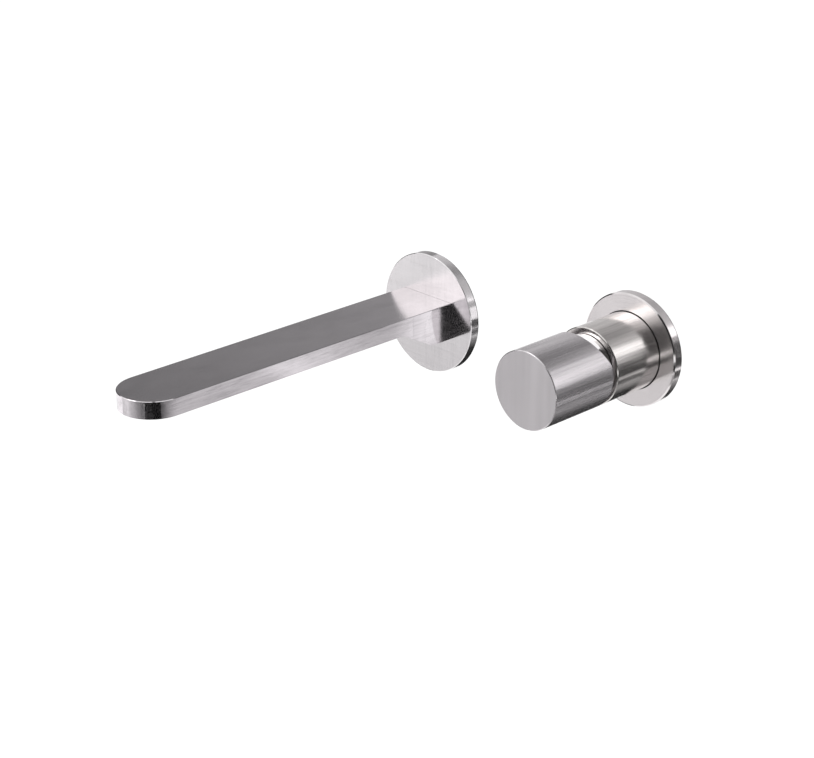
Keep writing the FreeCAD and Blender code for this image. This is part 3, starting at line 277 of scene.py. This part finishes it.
# Two small white cards beside the spout's neck, about as bright as the strips behind them. One lights
# the upper right of the neck's mirror image in the flange. The other gives the black in the neck's
# side an upright left edge.
neck_card_side, edge_card_side = 0.0222, 0.0330
neck_card_outline = ((-0.0130, 0.0058), (-0.0255, -0.0113), (-0.0255, 0.0080), (-0.0130, 0.0080))
edge_card_outline = ((-0.0146, -0.0240), (-0.0060, -0.0240), (-0.0060, 0.0), (-0.0146, 0.0))
neck_card_corners = [(neck_card_side, y, z) for y, z in neck_card_outline]
edge_card_corners = [(edge_card_side, y, z) for y, z in edge_card_outline]
reflected_sheet("neck_card", neck_card_corners, "Y", (-0.0255, -0.0130), (0.85, 1.12))
reflected_sheet("edge_card", edge_card_corners, "Y", (-0.0146, -0.0060), (0.96, 0.99))


def soft_lamp(name, place, aim, width, watts):
    """A square studio lamp that points at a place on the mixer."""
    data = bpy.data.lights.new(name, "AREA")
    data.shape = "SQUARE"
    data.size = width
    data.energy = watts
    lamp = bpy.data.objects.new(name, data)
    lamp.location = place
    lamp.rotation_euler = (Vector(place) - Vector(aim)).to_track_quat("Z", "Y").to_euler()
    lamp.visible_camera = False
    bpy.context.scene.collection.objects.link(lamp)


soft_lamp("front_lamp", (-0.9, -1.6, 1.5), (0.05, -0.06, 0.0), 1.0, 5.0)


# Spout arm: flat stainless bar, milled to a round tip and slanted underneath at its neck, then
# brushed along its length on all faces. The flat top is finer than the sides.
def new_finish(name):
    """An empty material, and the start of its node tree."""
    material = bpy.data.materials.new(name)
    material.use_nodes = True
    return material, Signal(material.node_tree)


def object_place(start):
    return start.node("ShaderNodeTexCoord", output="Object")


def marks(start, per_metre, detail=3.0, roughness=0.55, turn=(0.0, 0.0, 0.0)):
    """Noise with its own number of marks per metre along x, y and z."""
    placed = start.node("ShaderNodeMapping", None, {
        "Vector": object_place(start), "Rotation": turn, "Scale": per_metre})
    return start.node("ShaderNodeTexNoise", None, {
        "Vector": placed, "Scale": 1.0, "Detail": detail, "Roughness": roughness}, output="Fac")


def faces_along(start, axis):
    """One where the surface faces along one of the axes, and nought where it turns away."""
    normal = start.node("ShaderNodeTexCoord", output="Normal")
    part = start.node("ShaderNodeSeparateXYZ", None, {"Vector": normal}, output=axis)
    return part.maths("ABSOLUTE", part).ramp(0.80, 0.95)


def complete_finish(start, dark, light, shade, roughness, height, depth, metallic=1.0):
    """Feed the shader: shade picks between two colours, and height makes a relief of that depth."""
    shader = start.tree.nodes["Principled BSDF"]
    shader.inputs["Metallic"].default_value = metallic
    relief = height.node("ShaderNodeBump", None, {"Strength": 1.0, "Distance": depth, "Height": height})
    colour = shade.ramp(0.0, 1.0).blend(dark + (1.0,), light + (1.0,))
    for socket, signal in (("Base Color", colour), ("Roughness", roughness), ("Normal", relief)):
        start.tree.links.new(signal.socket, shader.inputs[socket])


def dress(name, material):
    """Give a piece its finish on all its material slots."""
    piece = nodes[name] if name in nodes else bpy.data.objects[name]
    if not piece.data.materials:
        piece.data.materials.append(material)
    for index in range(len(piece.data.materials)):
        piece.data.materials[index] = material


steel_dark, steel_light = 0.45, 1.12


def brushed_steel(name, tone, fine, streaks, unevenness, roughness, depth, turn=(0.0, 0.0, 0.0)):
    """Satin steel with fine lines and wider streaks, given as marks per metre."""
    material, start = new_finish(name)
    lines = marks(start, fine, 3.0, 0.6, turn) - 0.5
    bands = marks(start, streaks, 2.0, 0.5, turn) - 0.5
    clouds = marks(start, (55.0, 40.0, 55.0), 2.0) - 0.5
    shade = 0.78 + (lines + bands * 0.8 + clouds * 0.7) * unevenness
    rough = roughness + lines * 0.10 + clouds * 0.05
    dark, light = shaded(tone, steel_dark), shaded(tone, steel_light)
    complete_finish(start, dark, light, shade, rough, lines + bands * 3.0, depth)
    return material


bar_tone = (0.700, 0.672, 0.695)
bar_material, bar = new_finish("bar_steel")
on_top = faces_along(bar, "Z")
side_lines = marks(bar, (800.0, 45.0, 800.0), 3.0, 0.7, (math.radians(4.0), 0.0, 0.0)) - 0.5
side_patches = marks(bar, (160.0, 60.0, 160.0), 3.0, 0.6) - 0.5
top_lines = marks(bar, (1500.0, 30.0, 1500.0), 3.0, 0.6) - 0.5
top_clouds = marks(bar, (60.0, 30.0, 60.0), 3.0) - 0.5
bar_side = side_lines * 0.9 + side_patches * 0.8
bar_top = top_lines * 0.18 + top_clouds * 0.60
bar_shade = 0.80 + bar_side + on_top * (bar_top - bar_side)
side_height = side_lines * 0.6 + side_patches * 2.5
top_height = top_lines * 0.5 + top_clouds * 4.0
bar_height = side_height + on_top * (top_height - side_height)
complete_finish(
    bar, shaded(bar_tone, steel_dark), shaded(bar_tone, steel_light), bar_shade,
    0.105 + side_lines * 0.015 + on_top * 0.075, bar_height, 0.000002)
dress("spout_arm", bar_material)


# Waterway cover: the stainless plate that closes the milled waterway from below. It is let into the
# bar's underside, laser welded all round and brushed with it.
dress("waterway_cover", brushed_steel(
    "plate_steel", bar_tone, (1400.0, 40.0, 1400.0), (400.0, 12.0, 400.0), 0.5, 0.20, 0.000004))


# Aerator: a grey plastic honeycomb nozzle, screwed into the tip from below against a rubber ring,
# with a fine steel screen on its inner end.
def moulded(name, dark, light, roughness, grain=700.0, depth=0.000006):
    """A moulded or rubbed surface with a fine grain and faint flow clouds."""
    material, start = new_finish(name)
    specks = marks(start, (grain, grain, grain)) - 0.5
    clouds = marks(start, (80.0, 80.0, 80.0), 2.0) - 0.5
    shade = 0.5 + specks * 0.8 + clouds * 1.4
    rough = roughness + specks * 0.2 + clouds * 0.1
    complete_finish(start, dark, light, shade, rough, specks + clouds * 2.0, depth, metallic=0.0)
    return material


grey_plastic = moulded("grey_plastic", (0.34, 0.34, 0.35), (0.42, 0.42, 0.43), 0.42)
rubber = moulded("black_rubber", (0.014, 0.014, 0.014), (0.034, 0.034, 0.035), 0.62, 1200.0, 0.00001)
dress("aerator_body", grey_plastic)
dress("aerator_seal", rubber)
screen_steel = brushed_steel(
    "screen_steel", (0.60, 0.59, 0.59), (2500.0, 2500.0, 400.0), (900.0, 900.0, 200.0), 0.6, 0.28, 0.000004)
dress("aerator_screen", screen_steel)


# Flanges: turned from stainless plate, faced, and rubbed crosswise by hand. Their rims show the
# marks of the turning tool round them.
def distance_from_axis(start, centre):
    """Distance from an axis along y through a centre given as x and z."""
    flat = start.node("ShaderNodeMapping", None, {
        "Vector": object_place(start), "Location": (-centre[0], 0.0, -centre[1]), "Scale": (1.0, 0.0, 1.0)})
    return start.node("ShaderNodeVectorMath", {"operation": "LENGTH"}, {0: flat}, output="Value")


def turning_marks(start, centre, per_metre, detail=2.0):
    """Rings that a turning tool leaves round an axis along y."""
    radius = distance_from_axis(start, centre) * per_metre
    return start.node("ShaderNodeTexNoise", {"noise_dimensions": "1D"}, {
        "W": radius, "Scale": 1.0, "Detail": detail, "Roughness": 0.6}, output="Fac")


def flange_steel(name, tone, centre, cross_share, ring_share, roughness):
    """A faced flange: crossed hand scratches and turned rings on its face, fine rings on its rim."""
    rim_roughness = 0.13
    material, start = new_finish(name)
    place = object_place(start)
    height_up = place.node("ShaderNodeSeparateXYZ", None, {"Vector": place}, output="Z")
    # The upper part of the face is rubbed more, so it is duller.
    rubbed_from, rubbed_to = centre[1] + 0.004, centre[1] + 0.018
    upper_part = height_up.ramp(rubbed_from, rubbed_to)
    on_face = faces_along(start, "Y")
    one_way = marks(start, (800.0, 100.0, 50.0), 3.0, 0.7, (0.0, math.radians(62.0), 0.0))
    other_way = marks(start, (50.0, 100.0, 800.0), 3.0, 0.7, (0.0, math.radians(24.0), 0.0))
    scratches = one_way + other_way - 1.0
    rings = turning_marks(start, centre, 2200.0) - 0.5
    clouds = marks(start, (50.0, 50.0, 50.0), 2.0) - 0.5
    rim_lines = marks(start, (70.0, 3500.0, 70.0), 3.0, 0.6) - 0.5
    rim_bands = marks(start, (260.0, 120.0, 260.0), 3.0, 0.6) - 0.5
    face_shade = scratches * cross_share + rings * ring_share + clouds * 0.25
    rim_shade = rim_lines * 0.5 + rim_bands * 0.5
    shade = 0.82 + rim_shade + on_face * (face_shade - rim_shade)
    face_height = scratches * 0.3 + rings * ring_share * 4.0
    rim_height = rim_lines + rim_bands * 2.0
    height = rim_height + on_face * (face_height - rim_height)
    face_rough = roughness + upper_part * 0.08
    rough = rim_roughness + clouds * 0.04 + scratches * 0.01 + on_face * (face_rough - rim_roughness)
    complete_finish(start, shaded(tone, 0.5), shaded(tone, 1.10), shade, rough, height, 0.000004)
    return material


spout_axis = (0.0, 0.0)
dress("spout_flange", flange_steel(
    "spout_flange_steel", (0.760, 0.742, 0.752), spout_axis, 0.40, 0.03, 0.12))
dress("spout_flange_gasket", rubber)


# Spout adapter: turned brass with a G1/2 thread on its tail, wrench flats on its collar and two
# grooves for the rings that seal the spout. Its solid has a plain tail, so the thread is cut here.
def work_on(piece):
    """Make this the only selected piece."""
    bpy.ops.object.select_all(action="DESELECT")
    piece.select_set(True)
    bpy.context.view_layer.objects.active = piece


def select_corners(piece, wanted):
    """In edit mode, select only the corners whose place is wanted."""
    work_on(piece)
    bpy.ops.object.mode_set(mode="EDIT")
    bpy.ops.mesh.select_mode(type="VERT")
    bpy.ops.mesh.select_all(action="DESELECT")
    skin = bmesh.from_edit_mesh(piece.data)
    for corner in skin.verts:
        corner.select_set(wanted(corner.co))
    skin.select_flush_mode()
    bmesh.update_edit_mesh(piece.data)


def merged_copy(node, name):
    """A copy of a node from the frame, with its loose triangles merged into one skin."""
    piece = bpy.data.objects.new(name, nodes[node].data.copy())
    bpy.context.scene.collection.objects.link(piece)
    work_on(piece)
    bpy.ops.mesh.customdata_custom_splitnormals_clear()
    bpy.ops.object.mode_set(mode="EDIT")
    bpy.ops.mesh.select_all(action="SELECT")
    bpy.ops.mesh.remove_doubles(threshold=0.000002)
    bpy.ops.object.mode_set(mode="OBJECT")
    return piece


def resize_bore(piece, centre, old_radius, new_radius, back, front):
    """Move a round wall about an axis along y in or out, between two places along that axis."""
    slack = 0.00015

    def on_wall(place):
        radius = math.hypot(place.x - centre[0], place.z - centre[1])
        return abs(radius - old_radius) < slack and front - slack < place.y < back + slack

    select_corners(piece, on_wall)
    share = new_radius / old_radius
    bpy.ops.transform.resize(value=(share, 1.0, share), center_override=(centre[0], 0.0, centre[1]))
    bpy.ops.object.mode_set(mode="OBJECT")


def thread_ridge(name, centre, foot, crest, pitch, front, back):
    """A three-sided ridge wound round an axis along y between two places, with blunt ends."""
    rise = crest - foot
    turns = (back - front) / pitch - 1.0
    steps_per_turn = 28
    foot_share = 0.94
    quarter_turn = math.copysign(math.pi / 2, rise)
    bpy.ops.object.select_all(action="DESELECT")
    bpy.ops.mesh.primitive_circle_add(
        vertices=3, radius=1.0, location=(foot + rise / 3, front + pitch / 2, 0),
        rotation=(0, 0, -quarter_turn))
    ridge = bpy.context.object
    ridge.name = name
    # A three-sided circle of radius 1 is the root of 3 wide and 1.5 high.
    ridge.scale = (pitch * foot_share / math.sqrt(3.0), abs(rise) / 1.5, 1.0)
    bpy.ops.object.transform_apply(location=True, rotation=True, scale=True)
    winding = ridge.modifiers.new("winding", "SCREW")
    winding.axis = "Y"
    winding.angle = 2 * math.pi * turns
    winding.screw_offset = pitch * turns
    winding.steps = round(steps_per_turn * turns)
    winding.render_steps = winding.steps
    winding.use_merge_vertices = False
    bpy.ops.object.modifier_apply(modifier="winding")
    bpy.ops.object.mode_set(mode="EDIT")
    bpy.ops.mesh.select_all(action="SELECT")
    bpy.ops.mesh.fill_holes(sides=3)
    bpy.ops.mesh.select_all(action="SELECT")
    bpy.ops.mesh.normals_make_consistent(inside=False)
    bpy.ops.transform.translate(value=(centre[0], 0.0, centre[1]))
    bpy.ops.object.mode_set(mode="OBJECT")
    return ridge


def joined(piece, others):
    """Join other pieces into one and smooth its round faces."""
    work_on(piece)
    for other in others:
        other.select_set(True)
    bpy.ops.object.join()
    bpy.ops.object.shade_smooth_by_angle(angle=math.radians(32.0))
    return piece


def turned_brass(name, centre, roughness):
    """Raw turned brass: rings from the tool, a faint pull along the axis and darker handled patches."""
    material, start = new_finish(name)
    rings = turning_marks(start, centre, 3000.0) - 0.5
    feed_lines = marks(start, (60.0, 3500.0, 60.0), 3.0, 0.6) - 0.5
    patches = marks(start, (70.0, 70.0, 70.0), 3.0, 0.6) - 0.5
    on_face = faces_along(start, "Y")
    tool_marks = feed_lines + on_face * (rings - feed_lines)
    shade = 0.62 + tool_marks * 0.5 + patches * 1.1
    rough = roughness + patches * 0.25 + tool_marks * 0.10
    complete_finish(start, (0.42, 0.27, 0.10), (0.80, 0.60, 0.30), shade, rough, tool_marks, 0.000006)
    return material


tail_root, tail_crest, tail_pitch = 0.00935, 0.01045, 0.001814
tail_sink = 0.0001
tail_end = 0.014
spout_brass = turned_brass("spout_brass", spout_axis, 0.24)
adapter = merged_copy("spout_adapter", "threaded_adapter")
resize_bore(adapter, spout_axis, tail_crest, tail_root, tail_end, 0.0)
tail_thread = thread_ridge(
    "tail_thread", spout_axis, tail_root - tail_sink, tail_crest, tail_pitch, 0.0, tail_end)
adapter = joined(adapter, [tail_thread])
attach(adapter, "root")
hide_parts("spout_adapter")
dress("threaded_adapter", spout_brass)
dress("spout_adapter_orings", rubber)


# Grub screws: blackened steel with a hexagon socket. One in the neck's underside locks the spout on
# its spigot, and one under the knob locks the knob on the lever.
blackened = brushed_steel(
    "blackened_steel", (0.13, 0.13, 0.135), (1500.0, 1500.0, 1500.0), (300.0, 300.0, 300.0),
    0.9, 0.38, 0.000005)
dress("spout_grub_screw", blackened)
dress("knob_grub_screw", blackened)


# Handle flange: turned from stainless plate like the spout's, with a hole that leaves a narrow dark
# gap round the sleeve. One rubber ring in the hole grips the sleeve, and another seals the wall.
handle_axis = (0.128, 0.017)
dress("handle_flange", flange_steel(
    "handle_flange_steel", (0.735, 0.705, 0.708), handle_axis, 0.18, 0.45, 0.17))
dress("handle_flange_gasket", rubber)
dress("handle_flange_oring", rubber)


# Valve body: forged brass, machined where it seals. Three M8 x 1 ports for hot, cold and mixed water
# open at its back, and three countersunk holes take the wall screws.
port_bore, port_root, port_pitch = 0.0035, 0.0039, 0.001
port_sink = 0.00005
port_count = 3
port_mouth, port_bottom = 0.003, -0.006
port_circle = 0.0056
handle_brass = turned_brass("handle_brass", handle_axis, 0.26)
valve = merged_copy("valve_body", "threaded_valve_body")
port_threads = []
for index in range(port_count):
    turn = 2 * math.pi * index / port_count
    port_axis = (
        handle_axis[0] + port_circle * math.sin(turn),
        handle_axis[1] + port_circle * math.cos(turn),
    )
    resize_bore(valve, port_axis, port_bore, port_root, port_mouth, port_bottom)
    port_threads.append(thread_ridge(
        "port_thread_%d" % index, port_axis, port_root + port_sink, port_bore, port_pitch,
        port_bottom, port_mouth))
valve = joined(valve, port_threads)
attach(valve, "root")
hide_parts("valve_body")
dress("threaded_valve_body", handle_brass)


# Sleeve: a turned stainless tube, brushed along its axis, that slides over the valve body. Two
# rubber rings inside it grip the barrel.
dress("sleeve", brushed_steel(
    "sleeve_steel", (0.690, 0.665, 0.650), (1300.0, 26.0, 1300.0), (330.0, 10.0, 330.0),
    0.75, 0.19, 0.000002))
dress("sleeve_orings", rubber)


# Cartridge: an acetal housing and guide, rubber seals and two lapped ceramic discs, held down by a
# brass ring nut. The turned steel cap over it shows in the knob's oblique cut.
acetal = moulded("white_acetal", (0.72, 0.72, 0.69), (0.82, 0.82, 0.79), 0.38)
ceramic = moulded("lapped_ceramic", (0.80, 0.79, 0.75), (0.88, 0.87, 0.84), 0.14, 1500.0, 0.000001)
for name in ("cartridge_housing", "lever_guide", "disc_carrier", "knob_insert"):
    dress(name, acetal)
for name in ("fixed_disc", "moving_disc"):
    dress(name, ceramic)
dress("base_seals", rubber)
dress("cartridge_nut", handle_brass)
dress("cartridge_cover", brushed_steel(
    "cap_steel", (0.93, 0.91, 0.92), (90.0, 2600.0, 90.0), (40.0, 600.0, 40.0), 0.4, 0.11, 0.000002))


# Lever: turned and milled steel. Its pin crosses the guide, its ball drives the disc's carrier, and
# its square end holds the knob.
lever_steel = brushed_steel(
    "lever_steel", (0.55, 0.54, 0.54), (1200.0, 200.0, 1200.0), (300.0, 60.0, 300.0), 0.6, 0.26, 0.000005)
dress("lever", lever_steel)
dress("lever_pin", lever_steel)


# Knob: a turned steel shell brushed along its axis, with a plain fine-turned face whose colour is painted
# darker as a painted shade. A grey plug below hides its grub screw.
knob_tone = (0.680, 0.655, 0.672)
knob_material, knob = new_finish("knob_steel")
on_knob_face = faces_along(knob, "Y")
knob_lines = marks(knob, (1300.0, 22.0, 1300.0), 3.0, 0.6) - 0.5
knob_streaks = marks(knob, (360.0, 9.0, 360.0), 2.0, 0.5) - 0.5
knob_rings = turning_marks(knob, handle_axis, 2600.0) - 0.5
knob_clouds = marks(knob, (50.0, 50.0, 50.0), 2.0) - 0.5
face_bands = marks(knob, (170.0, 1.0, 9.0), 2.0, 0.5) - 0.5
side_shade = (knob_lines + knob_streaks) * 0.7
# The minus 0.28 paints the whole face darker than the side. This is a painted shade in place of the dim
# room that the face mirrors.
face_shade = knob_rings * 0.04 + knob_clouds * 0.10 + face_bands * 0.22 - 0.28
knob_shade = 0.78 + side_shade + on_knob_face * (face_shade - side_shade)
knob_height = knob_lines + knob_streaks * 3.0
complete_finish(
    knob, shaded(knob_tone, steel_dark), shaded(knob_tone, steel_light), knob_shade,
    0.26 + knob_lines * 0.10 + on_knob_face * 0.04,
    knob_height + on_knob_face * (face_bands * 0.5 - knob_height), 0.000003)
dress("knob_shell", knob_material)
dress("knob_plug", grey_plastic)
